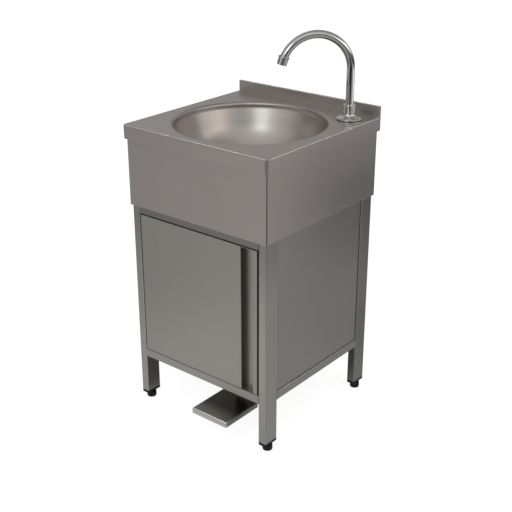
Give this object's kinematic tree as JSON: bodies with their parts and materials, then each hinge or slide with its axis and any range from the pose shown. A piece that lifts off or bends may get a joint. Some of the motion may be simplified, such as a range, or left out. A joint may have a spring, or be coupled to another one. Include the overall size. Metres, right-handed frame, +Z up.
{
  "type": "hand wash sink",
  "caption": "Free-standing stainless hand wash sink: round bowl in a square top, swan-neck spout, one-door leg-framed cabinet and foot pedal valve.",
  "frame": {"origin": "middle of the object's footprint on the floor, pedal and worktop included", "axes": "+X to the right seen from the door side, +Y towards the wall, +Z up"},
  "size_m": [0.5, 0.55, 1.094],
  "materials": {
    "stainless": "satin brushed stainless sheet, warm grey",
    "plated_steel": "zinc plated, dull",
    "chrome": "polished chrome",
    "brass": "machined brass",
    "black_plastic": "matt black moulded",
    "white_plastic": "white moulded",
    "rubber": "black rubber",
    "hose_braid": "braided steel wire over hose"
  },
  "bodies": {
    "cabinet": {"apron_back": "stainless", "apron_front": "stainless", "apron_left": "stainless", "apron_right": "stainless", "back_panel": "stainless", "basin_bowl": "stainless", "bracket_bolts": "plated_steel", "cabinet_floor": "stainless", "hinge_pins": "plated_steel", "hose_nuts": "brass", "inlet_pipe": "brass", "leg_caps": "black_plastic", "leg_front_left": "stainless", "leg_front_right": "stainless", "leg_rear_left": "stainless", "leg_rear_right": "stainless", "magnet_catch": "black_plastic", "panel_rivets": "plated_steel", "pedal_bracket": "plated_steel", "pedal_pin": "plated_steel", "pipe_clip": "black_plastic", "rail_front_bottom": "stainless", "rail_front_top": "stainless", "rail_left_bottom": "stainless", "rail_rear_bottom": "stainless", "rail_right_bottom": "stainless", "return_spring": "plated_steel", "riser_hose": "hose_braid", "shank_nut": "brass", "side_panel_left": "stainless", "side_panel_right": "stainless", "spout_base": "chrome", "spout_collar": "chrome", "spout_gasket": "rubber", "spout_shank": "brass", "trap_body": "white_plastic", "trap_cup": "white_plastic", "trap_nut": "white_plastic", "valve_body": "brass", "valve_locknut": "brass", "waste_gasket": "rubber", "waste_nut": "black_plastic", "waste_pipe": "white_plastic", "waste_strainer": "stainless", "waste_tail": "white_plastic", "worktop": "stainless"},
    "door": {"door_skin": "stainless", "door_back_panel": "stainless", "hinge_bushes": "black_plastic", "strike_plate": "plated_steel"},
    "spout": {"spout_tube": "chrome", "aerator_nut": "chrome", "aerator_insert": "white_plastic"},
    "pedal": {"pedal_plate": "stainless", "pedal_arm": "plated_steel"},
    "plunger": {"valve_plunger": "brass"},
    "leveller_front_left": {"foot_front_left": "black_plastic"},
    "leveller_front_right": {"foot_front_right": "black_plastic"},
    "leveller_rear_left": {"foot_rear_left": "black_plastic"},
    "leveller_rear_right": {"foot_rear_right": "black_plastic"}
  },
  "joints": [
    {"name": "door_hinge", "type": "hinge", "parent": "cabinet", "child": "door", "pos_m": [-0.1975, -0.2055, 0.388], "axis": [0, 0, -1], "range_deg": [0, 110]},
    {"name": "pedal_pivot", "type": "hinge", "parent": "cabinet", "child": "pedal", "pos_m": [0.087, -0.11, 0.084], "axis": [1, 0, 0], "range_deg": [0, 6], "stiffness_Nm_per_rad": 14, "springref_deg": -5.73},
    {"name": "plunger_slide", "type": "slide", "parent": "cabinet", "child": "plunger", "axis": [0, 0, 1], "range_m": [0, 0.0065], "deforming": ["return_spring"]},
    {"name": "spout_swivel", "type": "hinge", "parent": "cabinet", "child": "spout", "pos_m": [0.193, 0.204, 0.9], "axis": [0, 0, 1], "continuous": true},
    {"name": "leveller_front_left", "type": "slide", "parent": "cabinet", "child": "leveller_front_left", "axis": [0, 0, -1], "range_m": [0, 0.015]},
    {"name": "leveller_front_right", "type": "slide", "parent": "cabinet", "child": "leveller_front_right", "axis": [0, 0, -1], "range_m": [0, 0.015]},
    {"name": "leveller_rear_left", "type": "slide", "parent": "cabinet", "child": "leveller_rear_left", "axis": [0, 0, -1], "range_m": [0, 0.015]},
    {"name": "leveller_rear_right", "type": "slide", "parent": "cabinet", "child": "leveller_rear_right", "axis": [0, 0, -1], "range_m": [0, 0.015]}
  ],
  "couplings": [
    {"joint": "plunger_slide", "follows": "pedal_pivot", "m_per_rad": 0.06}
  ]
}
